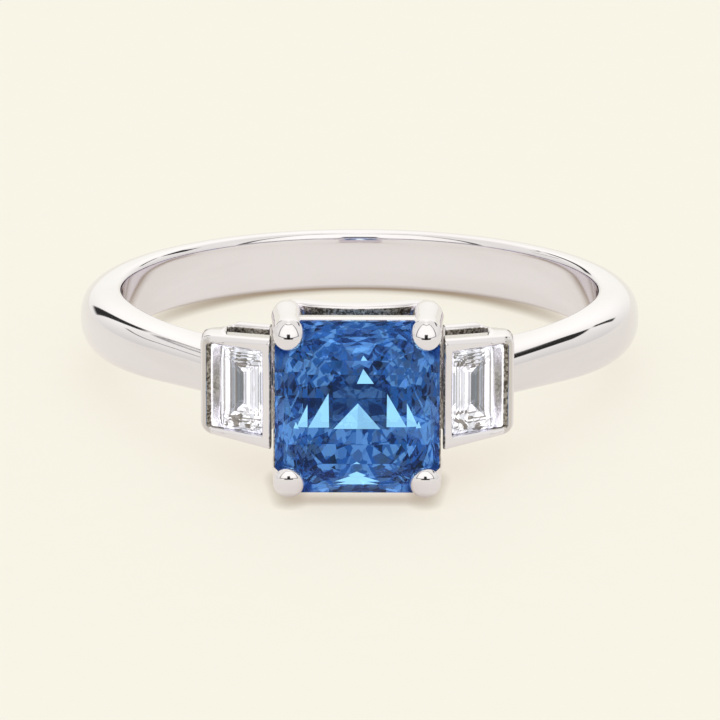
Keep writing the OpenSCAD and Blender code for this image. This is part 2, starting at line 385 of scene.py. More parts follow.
head = {
    "clawRadius": 0.533,
    "tipDome": 0.78,  # how far the rounded tip stands out, as a share of its radius
    "tipPoint": 1e-4,  # the tip's last section, as a share of the claw's
    "clawX": 2.34,
    "clawZ": 2.54,
    "footY": -10.7,
    "waist": 0.012,  # how much slimmer a claw is between tip and bend
    "waistFrom": (0.35, 1.1),  # lengths along the wire from its tip, where the waist sets in
    "waistTo": (1.6, 2.6),  # and where it goes out
    "lean": 0.14,  # of the tips towards the stone's middle
    "clawLength": 2.35,  # of the round section
    "railStart": 3.35,  # where the wire has the rail's section
    "wirePath": [(2.27, -13.66), (2.30, -12.9), (2.33, -12.2), (2.36, -11.4), (2.40, -10.58), (1.85, -10.48),
                 (1.25, -10.84), (0.65, -10.97), (0.0, -11.03)],
    "wireStations": 260,
    "domeStations": 16,
    "cornerPoints": 12,
    "roundest": 0.999,  # corner radius as a share of the half width, so that no edge vanishes
    "railHalfThickness": 0.315,
    "railHalfHeight": 0.425,
    "railCorner": 0.13,
    "railTop": 2.95,
    "recessHalfX": 2.0,  # the rough part between the wires, with painted shade
    "recessHalfZ": 2.85,
    "recessY": (-12.8, -11.0),
    "footBar": 0.42,  # radius
    "footStations": 12,
    "footPoints": 32,
    "barRecessY": -10.75,
    "seatFront": -13.34,
    "seatDepth": 0.56,
    "seatLip": 0.05,  # outside the girdle
    "seatFace": 0.02,  # inside it
    "seatSlope": 0.3,
    "seatEdge": 0.05,
    "seatRecess": (0.1, 0.04),  # how far its mark reaches inwards and back
}


def sweptBar(centre, across, up, halfAcross, halfUp, corner, cornerPoints=6):
    # a rounded rectangle carried along centre: each ring is centre + across a + up b, where
    # (a, b) goes round the rectangle with quarter circles of radius corner
    corner = np.broadcast_to(corner, halfAcross.shape)[:, None]
    quarter = np.linspace(0, math.pi / 2, cornerPoints)
    a, b = [], []
    for k, (signA, signB) in enumerate([(1, 1), (-1, 1), (-1, -1), (1, -1)]):
        turn = quarter + k * math.pi / 2
        a.append(signA * (halfAcross[:, None] - corner) + corner * np.cos(turn))
        b.append(signB * (halfUp[:, None] - corner) + corner * np.sin(turn))
    a, b = np.concatenate(a, 1), np.concatenate(b, 1)
    points = centre[:, None, :] + a[..., None] * across[:, None, :] + b[..., None] * up[:, None, :]
    return capped(points, len(centre), a.shape[1])


def splinePath(corners, count):
    # a uniform cubic B-spline: each point blends four neighbouring corners with the weights
    # (1-t)^3, 3t^3-6t^2+4, -3t^3+3t^2+3t+1 and t^3, all over six; the end corners count three times
    corners = np.asarray(corners, float)
    corners = np.concatenate([corners[:1]] * 2 + [corners] + [corners[-1:]] * 2)
    spans = len(corners) - 3
    place = np.linspace(0, spans - 1e-9, count)  # ends just inside the last span
    k, t = place.astype(int), (place % 1)[:, None]
    blend = ((1 - t) ** 3, 3 * t**3 - 6 * t**2 + 4, -3 * t**3 + 3 * t**2 + 3 * t + 1, t**3)
    return sum(w * corners[k + n] for n, w in enumerate(blend)) / 6


def clawWire(sideZ):
    # one wire from ball tip to ball tip: back along the claw, round the bend, along the gallery
    # rail and out again; its section goes from round on the claws to flat on the rail
    right = head["wirePath"]
    flat = splinePath([(-x, y) for x, y in right] + right[-2::-1], head["wireStations"])
    along = np.gradient(flat, axis=0)
    along /= np.linalg.norm(along, axis=1)[:, None]
    run = np.concatenate([[0], np.cumsum(np.linalg.norm(np.diff(flat, axis=0), axis=1))])
    run = np.minimum(run, run[-1] - run)  # from the nearer tip
    onRail = smoothStep(run, head["clawLength"], head["railStart"])
    slim = smoothStep(run, *head["waistFrom"]) * (1 - smoothStep(run, *head["waistTo"]))
    radius = head["clawRadius"] - slim * head["waist"]
    halfAcross = radius + onRail * (head["railHalfThickness"] - radius)
    halfUp = radius + onRail * (head["railHalfHeight"] - radius)
    corner = radius + onRail * (head["railCorner"] - radius)
    middle = head["clawZ"] + onRail * (head["railTop"] - head["railHalfHeight"] - head["clawZ"])
    # rounded ends: beyond the first and last stations the section shrinks like a flattened sphere's
    phi = np.linspace(0, math.pi / 2, head["domeStations"])[:-1]
    dome = head["clawRadius"] * head["tipDome"] * np.cos(phi)[:, None]
    shrink = np.maximum(np.sin(phi), head["tipPoint"])
    lean = head["lean"] * np.cos(phi)
    flat = np.concatenate([flat[0] - along[0] * dome, flat, flat[-1] + along[-1] * dome[::-1]])
    along = np.concatenate([np.tile(along[0], (len(phi), 1)), along, np.tile(along[-1], (len(phi), 1))])
    middle = np.concatenate([middle[0] - lean, middle, middle[-1] - lean[::-1]])
    halfAcross, halfUp, corner = (
        np.concatenate([v[0] * shrink, v, v[-1] * shrink[::-1]]) for v in (halfAcross, halfUp, corner)
    )
    centre = np.column_stack([flat[:, 0] + ring["headShift"], flat[:, 1], sideZ * middle])
    across = np.column_stack([-along[:, 1], along[:, 0], 0 * middle])
    up = np.tile([0.0, 0.0, 1.0], (len(flat), 1))
    return sweptBar(
        centre, across, up, halfAcross, halfUp, corner * head["roundest"], head["cornerPoints"]
    )


def footBar(sideX):
    # a round bar between the two claw feet on one side: x = foot x + r cos(a), y = foot y + r sin(a)
    z = np.linspace(-head["clawZ"], head["clawZ"], head["footStations"])[:, None]
    turn = np.linspace(0, 2 * math.pi, head["footPoints"], endpoint=False)[None, :]
    x = ring["headShift"] + sideX * head["clawX"] + head["footBar"] * np.cos(turn) + 0 * z
    y = head["footY"] + head["footBar"] * np.sin(turn) + 0 * z
    return capped(np.stack([x, y, z + 0 * turn], -1), *x.shape)


def outline(t, halfWidth, halfHeight, crop):
    # the cropped rectangle as a path: t runs from 0 to 16, with the side middles at 0, 4, 8, 12,
    # the corner middles at 2, 6, 10, 14, and the crop's ends at the odd numbers
    a, b, c = halfWidth, halfHeight, crop
    quarterX, quarterY = [a, a, a - c / 2, a - c], [0, b - c, b - c / 2, b]
    nextX, nextY = [0, c - a, c / 2 - a, -a], [b, b, b - c / 2, b - c]
    xs = quarterX + nextX + [-x for x in quarterX] + [-x for x in nextX] + [a]
    ys = quarterY + nextY + [-y for y in quarterY] + [-y for y in nextY] + [0]
    t = np.mod(t, 16)
    return np.interp(t, np.arange(17), xs), np.interp(t, np.arange(17), ys)


def seatRail():
    # a ring round the pavilion, whose profile is (offset outwards from the girdle, depth behind
    # the front): a lip outside the girdle, and inside it slopes with the stone
    besideCorner = 0.02  # of the path's steps, so that corners stay sharp
    t = np.arange(16)[:, None] + np.array([besideCorner, 0.5, 1 - besideCorner])
    lip, deep, edge = head["seatLip"], head["seatDepth"], head["seatEdge"]
    profile = [
        (lip, edge), (lip - 0.3 * edge, 0.3 * edge), (lip - edge, 0.0), (-head["seatFace"], 0.0),
        (-head["seatSlope"], deep), (lip - edge, deep), (lip, deep - edge),
    ]
    rings = []
    for offset, depth in profile:
        crop = centreCut["crop"] + 0.586 * offset  # keeps the rail even round the corners
        x, z = outline(t.ravel(), centreCut["halfWidth"] + offset, centreCut["halfHeight"] + offset, crop)
        rings.append(np.stack([x + ring["headShift"], np.full_like(x, head["seatFront"] + depth), z], -1))
    points = np.stack(rings, 1)
    return points.reshape(-1, 3), gridQuads(t.size, len(profile), wrapRows=True).tolist()


def facesHead(points):
    # 1 on what faces the stone inside the head, where the metal is rough and its dark colour is painted shade
    startY, endY = head["recessY"]
    inner = (fromMiddle(points) < head["recessHalfX"]) & (np.abs(points[:, 2]) < head["recessHalfZ"])
    return (inner & (points[:, 1] > startY) & (points[:, 1] < endY)).astype(float)


def facesStone(points):
    # 1 on the front half of the foot bars, facing the stone, where shade is painted
    return (points[:, 1] < head["barRecessY"]).astype(float)


def besideStone(points):
    # 1 on the seat rail's front edge at both sides of the stone, where a dark strip of shade is painted
    inwards, back = head["seatRecess"]
    aside = fromMiddle(points) > centreCut["halfWidth"] - inwards
    return (aside & (points[:, 1] < head["seatFront"] + back)).astype(float)


for name, shells, mark in (
    ("claws", [clawWire(1), clawWire(-1)], facesHead),
    ("footBars", [footBar(-1), footBar(1)], facesStone),
    ("seatRail", [seatRail()], besideStone),
):
    makePiece(name, shells, metal, ["shank_and_settings"], marks={"recess": mark})
print("claw head made")


# the right side setting; the left one is its mirror image
setting = {
    "innerX": 2.89,
    "innerY": -12.014,
    "outerX": 5.31,
    "turn": 34.0,  # degrees
    "wall": 0.42,  # metal beside the stone, with the stone's gap
    "halfInner": 1.90,
    "halfOuter": 1.73,
    "cornerInner": 0.08,
    "cornerOuter": 0.38,
    "cornerPoints": 9,
    "sidePoints": 14,
    "halfOpening": 1.45,
    "openingWidth": 2.09,
    "openingExtra": 0.05,  # at the outer end, beyond the stone
    "openingCorner": 0.06,
    "edge": 0.21,  # rounding between the rim's face and its outside
    "lip": 0.13,  # rounding at the opening
    "edgePoints": 6,
    "seat": [(0.0, 0.40), (0.045, 0.50), (0.16, 0.74)],  # beyond the opening, and inwards
    "rimDepth": 0.80,  # along Y
    "windowX": 4.43,
    "wallStart": 0.5,  # behind the rim's face
    "wallInset": 0.02,  # inside the rim
    "wallEdge": 0.08,
    "endBackY": -9.33,
    "railInner": 9.62,
    "railOuter": 10.10,
    "railTop": 1.82,
    "railAngles": (17.1262, 26.3735),  # degrees from the centre stone
    "railStations": 30,
    "railCorner": 0.12,
    "railBend": (2.005, 0.25),  # degrees before its end, and how far it bends forward there
    "railDrop": (2.292, 0.10),  # the same for its height
}

# how far the marks on a setting reach
settingMarks = {
    # the rim's painted shade reaches this far inwards and back
    "rimShadeWidth": 0.32,  # inwards from the rim's outer end
    "rimShadeDepth": 0.05,  # fronts and backs are counted from the rim's face
    "windowFront": 0.12,  # before the rim's back
    "windowBack": 0.06,  # into the rail
    "windowTop": 1.71,  # in z
    "besideWidth": 0.06,  # outwards from the rim's inner end
    "besideFront": 0.03,
    "seatInwards": 0.5,  # from the opening's outer end
    "seatOutwards": 0.10,
    "seatFront": 0.003,
    "seatBack": 0.52,
    "seatTop": 0.01,  # above the opening
}


def frontY(x):
    # the front face of the right setting: a plane turned away from the centre stone's
    return setting["innerY"] + (x - setting["innerX"]) * math.tan(math.radians(setting["turn"]))


def openingEnds():
    # where the opening starts and ends in x: lengths on the turned face times cos(turn)
    start = setting["wall"]
    end = start + setting["openingWidth"] + setting["openingExtra"]
    foreshorten = math.cos(math.radians(setting["turn"]))
    return setting["innerX"] + start * foreshorten, setting["innerX"] + end * foreshorten


def roundCorners(corners):
    # corners are (x, z, radius) in turn order: a quarter circle x + r cos(a), z + r sin(a) for
    # each, and points on the straight line from its end to the start of the next
    quarter = np.linspace(0, math.pi / 2, setting["cornerPoints"])
    share = np.linspace(0, 1, setting["sidePoints"] + 2)[1:-1]
    arcs = []
    for k, (x, z, r) in enumerate(corners):
        turn = quarter + k * math.pi / 2
        arcs.append((x + r * np.cos(turn), z + r * np.sin(turn)))
    xs, zs = [], []
    for (fromX, fromZ), (toX, toZ) in zip(arcs, arcs[1:] + arcs[:1]):
        xs += [fromX, fromX[-1] + share * (toX[0] - fromX[-1])]
        zs += [fromZ, fromZ[-1] + share * (toZ[0] - fromZ[-1])]
    return np.concatenate(xs), np.concatenate(zs)


def rimOutline():
    # the outside of the rim in x and z, higher and nearly sharp at its inner end
    x0, x1 = setting["innerX"], setting["outerX"]
    h0, h1 = setting["halfInner"], setting["halfOuter"]
    r0, r1 = setting["cornerInner"], setting["cornerOuter"]
    return roundCorners([
        (x1 - r1, h1 - r1, r1), (x0 + r0, h0 - r0, r0), (x0 + r0, r0 - h0, r0), (x1 - r1, r1 - h1, r1),
    ])


def openingOutline():
    # the opening in x and z, whose corners are nearly sharp
    x0, x1 = openingEnds()
    h, r = setting["halfOpening"], setting["openingCorner"]
    return roundCorners([(x1 - r, h - r, r), (x0 + r, h - r, r), (x0 + r, r - h, r), (x1 - r, r - h, r)])


def rimShell():
    # a picture frame: at each place round it a profile goes from the back over the rounded edge,
    # across the face, into the opening and down the stone's seat, and returns behind; its points
    # are an offset from the rim towards the opening, a depth square to the face and one along Y
    ox, oz = rimOutline()
    ix, iz = openingOutline()
    gap = np.hypot(ix - ox, iz - oz)
    dirX, dirZ = (ix - ox) / gap, (iz - oz) / gap
    edge, lip = setting["edge"], setting["lip"]
    arc = np.linspace(0, math.pi / 2, setting["edgePoints"])
    profile = [(0.0, 0.0, setting["rimDepth"])]
    profile += [(edge * (1 - np.cos(p)), 0.0, edge * (1 - np.sin(p))) for p in arc]
    profile += [(gap - lip * (1 - np.sin(p)), lip * (1 - np.cos(p)), 0.0) for p in arc]
    profile += [(gap + beyond, inwards, 0.0) for beyond, inwards in setting["seat"]]
    turn = math.radians(setting["turn"])
    rings = []
    for offset, inwards, back in profile:
        x, z = ox + dirX * offset, oz + dirZ * offset
        y = frontY(x) + inwards * math.cos(turn) + back
        rings.append(np.stack([x - inwards * math.sin(turn), y, z], -1))
    points = np.stack(rings, 1)
    return points.reshape(-1, 3), gridQuads(len(ox), len(profile), wrapRows=True).tolist()


def endWallShell():
    # the rim's outer end carried on behind it: its outline in x and z runs back along Y, a little
    # smaller inside the rim, and both ends close on the middle line
    ox, oz = rimOutline()
    windowX, inset, edge = setting["windowX"], setting["wallInset"], setting["wallEdge"]
    x = np.maximum(ox, windowX)
    share = (windowX - setting["innerX"]) / (setting["outerX"] - setting["innerX"])
    half = setting["halfInner"] + share * (setting["halfOuter"] - setting["halfInner"])
    z = np.where(ox < windowX, np.clip(oz, -half, half), oz)
    front, rimBack = frontY(x) + setting["wallStart"], frontY(x) + setting["rimDepth"]
    back = np.full_like(x, setting["endBackY"])
    rows = [  # y, how far inside the outline, and share of its height
        (front, inset, 0.0), (front, inset, 1.0), (rimBack - inset / 2, inset, 1.0), (rimBack, 0.0, 1.0),
        (back - edge, 0.0, 1.0), (back - 0.3 * edge, 0.3 * edge, 1.0), (back, edge, 1.0), (back, edge, 0.0),
    ]
    centreX = (windowX + setting["outerX"]) / 2
    rings = []
    for y, inside, high in rows:
        shrunkX = x + np.sign(centreX - x) * np.minimum(inside, np.abs(centreX - x))
        shrunkZ = (z - np.sign(z) * np.minimum(inside, np.abs(z))) * high
        rings.append(np.stack([shrunkX, y, shrunkZ], -1))
    points = np.stack(rings)
    return points.reshape(-1, 3), gridQuads(len(rows), len(ox)).tolist()


def railShell():
    # the curved rail behind the window, along x = r sin(a), y = -r cos(a) about the finger; its
    # outer end bends forward into the end wall and gets a little lower
    start, end = setting["railAngles"]
    degrees = np.linspace(start, end, setting["railStations"])
    (bendOver, bend), (dropOver, drop) = setting["railBend"], setting["railDrop"]
    radius = (setting["railInner"] + setting["railOuter"]) / 2
    across = np.stack([np.sin(np.radians(degrees)), -np.cos(np.radians(degrees)), 0 * degrees], -1)
    centre = radius * across
    centre[:, 1] -= bend * smoothStep(degrees, end - bendOver, end)
    up = np.tile([0.0, 0.0, 1.0], (len(degrees), 1))
    half = np.full_like(degrees, (setting["railOuter"] - setting["railInner"]) / 2)
    high = setting["railTop"] - drop * smoothStep(degrees, end - dropOver, end)
    return sweptBar(centre, across, up, half, high, setting["railCorner"])


def paintRimShade(points):
    # 1 on the outer bar of the rim's front face, where a darker tone is painted as shade, for the ring's own
    # shade it would mirror
    x, y = fromMiddle(points), points[:, 1]
    onFace = y < frontY(x) + settingMarks["rimShadeDepth"]
    return (onFace & (x > setting["outerX"] - settingMarks["rimShadeWidth"])).astype(float)


def settingRecess(points):
    # 1 on the window's inner faces, beside the centre stone and in the side stone's seat, where the metal is
    # rough and its dark colour is painted shade
    reach, openingEnd = settingMarks, openingEnds()[1]
    windowEnd = setting["windowX"] + setting["wallInset"] - ring["smallest"]
    x, z = fromMiddle(points), np.abs(points[:, 2])
    radius, behindFace = np.hypot(x, points[:, 1]), points[:, 1] - frontY(x)
    window = (behindFace > setting["rimDepth"] - reach["windowFront"]) & (z < reach["windowTop"])
    window &= (radius > setting["railOuter"] - reach["windowBack"]) & (x < windowEnd)
    beside = (x < setting["innerX"] + reach["besideWidth"]) & (behindFace > reach["besideFront"])
    seat = (x > openingEnd - reach["seatInwards"]) & (x < openingEnd + reach["seatOutwards"])
    seat &= (behindFace > reach["seatFront"]) & (behindFace < reach["seatBack"])
    seat &= z < setting["halfOpening"] + reach["seatTop"]
    return (window | beside | seat).astype(float)


for name, side in (("rightSetting", 1.0), ("leftSetting", -1.0)):
    shells = [onSide(shell, side) for shell in (rimShell(), endWallShell(), railShell())]
    # marks for painted shade in the recesses and on the rims' outer bars
    makePiece(
        name, shells, metal, ["shank_and_settings"],
        marks={"recess": settingRecess, "paintedRimShade": paintRimShade},
    )
print("side settings made")


def cutRow(first, count, size, high):
    # points of one row of a cut: x and z on the shrunken outline, and the height above the girdle
    t = first + 16 * np.arange(count) / count
    x, z = outline(t, centreCut["halfWidth"] * size, centreCut["halfHeight"] * size, centreCut["crop"] * size)
    return np.stack([x + ring["headShift"], np.full_like(x, centreCut["girdleY"] - high), z], -1)


def centreStoneShell():
    # crown: table, star triangles, kites and upper halves; pavilion: rows of sixteen, each turned
    # half a step from the row before, so that triangles join them down to the tip
    half, crown = centreCut["girdle"] / 2, centreCut["crown"]
    starSize, starShare = centreCut["star"]
    rows = [
        cutRow(1, 8, centreCut["table"], half + crown), cutRow(0, 8, starSize, half + starShare * crown),
        cutRow(0, 16, 1.0, half), cutRow(0, 16, 1.0, -half),
    ]
    for k, (size, depth) in enumerate(centreCut["pavilionRows"]):
        rows.append(cutRow(0.5 * ((k + 1) % 2), 16, size, -half - depth * centreCut["pavilion"]))
    rows.append(np.array([[ring["headShift"], centreCut["girdleY"] + half + centreCut["pavilion"], 0.0]]))
    start = np.cumsum([0] + [len(r) for r in rows])
    table, star, top, bottom = start[:4]
    j8, j16 = np.arange(8), np.arange(16)
    next8, next16 = (j8 + 1) % 8, (j16 + 1) % 16
    kiteFoot = top + (2 * j8 + 1) % 16
    faces = [list(range(table, table + 8))]
    triangles = [
        (table + j8, star + next8, table + next8), (table + j8, star + j8, kiteFoot),
        (table + j8, kiteFoot, star + next8), (star + j8, top + (2 * j8) % 16, kiteFoot),
        (star + j8, top + (2 * j8 - 1) % 16, top + 2 * j8),
    ]
    faces += np.stack([top + j16, bottom + j16, bottom + next16, top + next16], -1).tolist()
    for k, (upper, lower) in enumerate(zip(start[3:-3], start[4:-2])):
        # even rows have the next row's points half a step ahead, odd rows half a step behind
        near = (j16, next16)[k % 2]
        triangles.append((upper + j16, lower + near, upper + next16))
        triangles.append((lower + j16, upper + (next16, j16)[k % 2], lower + next16))
    triangles.append((start[-3] + j16, start[-3] + next16, np.full(16, start[-2])))
    for corners in triangles:
        faces += np.stack(corners, -1).tolist()
    return np.concatenate(rows), faces


def behindGirdle(points):
    # 1 on the part of the centre stone behind its girdle
    return (points[:, 1] > centreCut["girdleY"] + centreCut["girdle"] / 2 - ring["smallest"]).astype(float)


sideCut = {
    "halfWidth": 1.06,
    "halfHeight": 1.43,
    "inwards": -0.08,  # from the opening's middle towards the centre stone
    "crop": 0.08,
    "girdle": 0.05,
    "crown": 0.13,
    "pavilion": 1.1,
    "over": [(0.62, 1.0), (0.80, 0.68), (1.0, 0.0)],  # size share, depth share
    "under": [(1.0, 0.0), (0.78, -0.38), (0.46, -0.74), (0.06, -1.0)],
    "behindFace": 0.17,  # girdle's middle behind the rim's face
    "shiningEnd": 0.95,  # share of the half width, beyond which the girdle carries the painted glow too
}


def sidePlace(local):
    # from the side stone's own frame (along its face, outwards, up) to the ring's
    turn = math.radians(setting["turn"])
    alongFace = np.array([math.cos(turn), math.sin(turn), 0.0])
    outwards = np.array([math.sin(turn), -math.cos(turn), 0.0])
    up = np.array([0.0, 0.0, 1.0])
    x = setting["innerX"] + (setting["wall"] + setting["openingWidth"] / 2) * math.cos(turn)
    middle = np.array([x, frontY(x), 0.0]) - sideCut["behindFace"] * outwards
    along = local[:, :1] - sideCut["inwards"]
    return middle + along * alongFace + local[:, 1:2] * outwards + local[:, 2:] * up


def sideStoneShell():
    # steps: each row is the octagon moved inwards by the same amount all round
    rows = [(s, sideCut["girdle"] / 2 + d * sideCut["crown"]) for s, d in sideCut["over"]]
    rows += [(s, -sideCut["girdle"] / 2 + d * sideCut["pavilion"]) for s, d in sideCut["under"]]
    t = np.arange(1, 17, 2)
    rings = []
    for share, high in rows:
        loss = sideCut["halfWidth"] * (1 - share)
        u, w = outline(t, sideCut["halfWidth"] - loss, sideCut["halfHeight"] - loss, sideCut["crop"] * share)
        rings.append(np.stack([u, np.full_like(u, high), w], -1))
    return capped(sidePlace(np.stack(rings).reshape(-1, 3)), len(rows), len(t))


def behindSideGirdle(points):
    # 1 on a side stone behind its girdle, along its own axis, and on the girdle's outer end
    turn = math.radians(setting["turn"])
    girdle = sidePlace(np.array([[0.0, -sideCut["girdle"] / 2 + ring["smallest"], 0.0]]))[0]
    x, y = fromMiddle(points) - girdle[0], points[:, 1] - girdle[1]
    deeper = x * math.sin(turn) - y * math.cos(turn) < 0
    atEnd = x * math.cos(turn) + y * math.sin(turn) > sideCut["shiningEnd"] * sideCut["halfWidth"]
    return (deeper | atEnd).astype(float)


sapphireLook = {
    "colour": (0.025, 0.10, 0.30, 1.0),
    "deeper": (0.020, 0.08, 0.26, 1.0),
    "rim": (0.1, 0.2, 0.35, 1.0),  # tint of what its faces mirror
    "refraction": 1.77,
    # tones of the painted light and shade behind the girdle, down to the painted flashes
    "dark": (0.03, 0.02, 0.02, 1.0),
    "middle": (0.09, 0.23, 0.44, 1.0),
    "light": (0.60, 0.80, 1.0, 1.0),
    "grey": (0.26, 0.28, 0.34, 1.0),
    "paintedClawShade": (0.0, 0.04, 0.12, 1.0),
    "paintedSpark": (2.15, 2.35, 1.85, 1.0),
    "unlit": (0.0, 0.0, 0.0, 1.0),
    "glow": 1.0,
    "foil": 0.85,  # how much the facets behind the girdle mirror
    "frontY": -14.12,  # of the table
    "sightBend": 7.5,  # degrees, of the line of sight inside the stone
    "shards": 1.7,  # per millimetre
    "splinters": 2.9,
    "shardAcross": (1.15, 0.55),  # the patterns' own axes, as parts of the way aside and up
    "shardUp": (-0.35, 0.8),
    "splinterAcross": (1.2, -0.4),
    "splinterUp": (0.0, 0.9),
    "rowHeight": 0.8,  # the patterns break between rows
    "rowStart": 0.42,  # of a row
    "rowJump": 3.7,
    "facetJump": 9.0,
    "shardShare": 0.62,  # of the tone, and splinters for the rest
    "darkTones": (0.39, 0.46),
    "lightTones": (0.58, 0.73),
    "deeperTones": (0.4, 0.6),
    "greyAbove": 0.75,
    "greyShare": 0.7,
    # painted flashes of light: triangles with their point up, as apex x and z, base z, slopes to the left and
    # right, and strength; the last one takes part of the first away again
    "paintedFlashes": [
        (-0.05, 0.27, -0.61, 1.08, 1.16, 1.0), (-1.03, 0.62, -0.56, 1.75, 60.0, 1.0),
        (0.93, 0.60, -0.54, 60.0, 1.75, 1.0), (0.13, 1.46, 0.95, 2.4, 1.45, 1.0),
        (-0.08, -1.74, -2.13, 0.56, 0.54, 1.0), (-0.05, 0.27, -0.61, 60.0, 1.16, -0.2),
    ],
    "paintedWell": (1.04, -0.62, 0.95, 0.55),  # painted shade in the middle: half width, lowest, highest, and how dark
    "clawShade": (0.4, 0.8),  # painted shade of the claws, in square millimetres, as the square of the distance from a claw
}


def sapphireMaterial():
    # clear blue stone; behind the girdle its facets carry painted light, a glow in shards with painted
    # flashes and painted shade, laid out as they are seen through the table: across x, and high z + depth
    # tan(bend)
    material, place = newMaterial("sapphire")
    look = sapphireLook
    across, along, high = ringPlace(place)
    high = high + (along - look["frontY"]) * math.tan(math.radians(look["sightBend"]))

    def cellTones(aside, axisX, axisY, layer, scale):
        # cells on slanted axes, each a part of aside plus a part of high, and a layer of its own
        (asideX, highX), (asideY, highY) = axisX, axisY
        cellPlace = place.node("ShaderNodeCombineXYZ", {}, {
            "X": aside * asideX + high * highX, "Y": aside * asideY + high * highY, "Z": layer,
        })
        return cellPlace.cells(scale)

    # the large shards mirror each other left and right, the splinters don't and break at the edges
    # of the real facets too
    row = (high * (1 / look["rowHeight"]) + look["rowStart"]).maths("FLOOR") * look["rowJump"]
    shards = cellTones(abs(across), look["shardAcross"], look["shardUp"], row, look["shards"])
    layer = row + place.mark("facet") * look["facetJump"]
    splinters = cellTones(across, look["splinterAcross"], look["splinterUp"], layer, look["splinters"])
    red, green = Vector((1, 0, 0)), Vector((0, 1, 0))
    tone = look["shardShare"] * shards.dot(red) + (1 - look["shardShare"]) * splinters.dot(red)
    facets = tone.stretch(*look["darkTones"]).mix(look["dark"], look["middle"])
    facets = tone.stretch(*look["lightTones"]).mix(facets, look["light"])
    facets = (look["greyShare"] * (splinters.dot(green) > look["greyAbove"])).mix(facets, look["grey"])
    paintedFlash = 0.0
    for apexX, apexZ, baseZ, slopeLeft, slopeRight, strength in look["paintedFlashes"]:
        offset = across - apexX
        roof = apexZ + (offset * slopeLeft).maths("MINIMUM", offset * -slopeRight)
        paintedFlash = paintedFlash + strength * (high < roof) * (high > baseZ)
    # painted shade: the middle is a darker well, and the claws' shade is painted on the corners
    halfWell, lowest, highest, dark = look["paintedWell"]
    paintedWell = dark * (abs(across) < halfWell) * (high > lowest) * (high < highest)
    fromClawX, fromClawZ = abs(across) - head["clawX"], abs(high) - head["clawZ"]
    corner = 1 - (fromClawX * fromClawX + fromClawZ * fromClawZ).stretch(*look["clawShade"])
    facets = corner.mix(paintedWell.mix(facets, look["dark"]), look["paintedClawShade"])
    # behind the girdle the emission is painted light and shade; in front it is unlit
    behind = place.mark("behind")
    shade(place, {
        "Base Color": tone.stretch(*look["deeperTones"]).mix(look["colour"], look["deeper"]),
        "Metallic": behind * look["foil"], "Roughness": 0.0, "IOR": look["refraction"],
        "Transmission Weight": 1.0, "Specular Tint": look["rim"],
        "Emission Color": behind.mix(look["unlit"], paintedFlash.mix(facets, look["paintedSpark"])),
        "Emission Strength": look["glow"],
    })
    return material


diamondLook = {
    "colour": (0.72, 0.72, 0.76, 1.0),
    "refraction": 2.42,
    # tones of the painted light and shade behind the girdle
    "white": (1.25, 1.25, 1.30, 1.0),
    "pale": (1.12, 1.12, 1.22, 1.0),
    "paintedEndLight": (2.2, 2.2, 2.3, 1.0),
    "grey": (0.05, 0.08, 0.13, 1.0),
    "steel": (0.30, 0.33, 0.38, 1.0),
    "line": (0.08, 0.05, 0.035, 1.0),
    "unlit": (0.0, 0.0, 0.0, 1.0),
    "glow": 0.5,
    "foil": 0.85,
    "foilTone": (0.6, 0.6, 0.6),  # share of the painted glow's colours that its mirroring facets have
    # in millimetres, how far towards the outer end the deepest line seems to lie, and half its
    # length; the steps and lines are distances from it
    "keelOut": -0.14,
    "keelHalf": 0.50,
    "steps": [(0.04, "grey"), (0.33, "steel"), (0.52, "white")],
    "paleFrom": 0.75,
    "outerEndFrom": 0.95,
    "lines": [(0.05, 0.012), (0.33, 0.025), (0.52, 0.03), (0.75, 0.02)],  # and half widths
    "lineStrength": 0.85,
    "glintCells": 5200.0,  # per metre
    "glintsFrom": 0.22,
    "darkGlints": 0.55,  # tones of the glint cells above which they are painted glints
    "whiteGlints": 0.78,
}


def diamondMaterial():
    # clear stone; behind the girdle a painted glow shows its steps in painted light and shade: reach is the
    # distance from the deepest line in millimetres, across the face or beyond the line's end, whichever is
    # more
    material, place = newMaterial("diamond")
    look, turn = diamondLook, math.radians(setting["turn"])
    middle = sidePlace(np.zeros((1, 3)))[0]
    across, along, high = ringPlace(place)
    away, deep = abs(across - ring["headShift"]) - middle[0], along - middle[1]
    fromKeel = away * math.cos(turn) + deep * math.sin(turn) - look["keelOut"]
    aside, end = abs(fromKeel), abs(high) - look["keelHalf"]
    reach, atEnd = aside.maths("MAXIMUM", end), end > aside
    # painted shade in dark steps on the outer side of the line, painted light in white ones on the inner side
    # and at both ends
    steps = look["white"]
    for start, tone in look["steps"]:
        steps = (reach > start).mix(steps, look[tone])
    colour = ((fromKeel > 0.0) * (1 - atEnd)).mix(look["white"], steps)
    colour = (reach > look["paleFrom"]).mix(colour, look["pale"])
    for at, half in look["lines"]:
        colour = (look["lineStrength"] * (abs(reach - at) < half)).mix(colour, look["line"])
    # a painted highlight at the outer end
    colour = (fromKeel > look["outerEndFrom"]).mix(colour, look["paintedEndLight"])
    glintTone = place.cells(look["glintCells"]).dot(Vector((1, 0, 0)))
    paintedGlints = atEnd * (reach > look["glintsFrom"]) * (glintTone > look["darkGlints"])
    colour = paintedGlints.mix(colour, (glintTone > look["whiteGlints"]).mix(look["line"], look["white"]))
    # behind the girdle the emission is painted light and shade, and its mirroring facets carry the same
    # pattern painted in their colour
    behind = place.mark("behind")
    shade(place, {
        "Base Color": behind.mix(look["colour"], colour.times(look["foilTone"])),
        "Metallic": behind * look["foil"], "Roughness": 0.0, "IOR": look["refraction"],
        "Transmission Weight": 1.0, "Emission Color": behind.mix(look["unlit"], colour),
        "Emission Strength": look["glow"],
    })
    return material


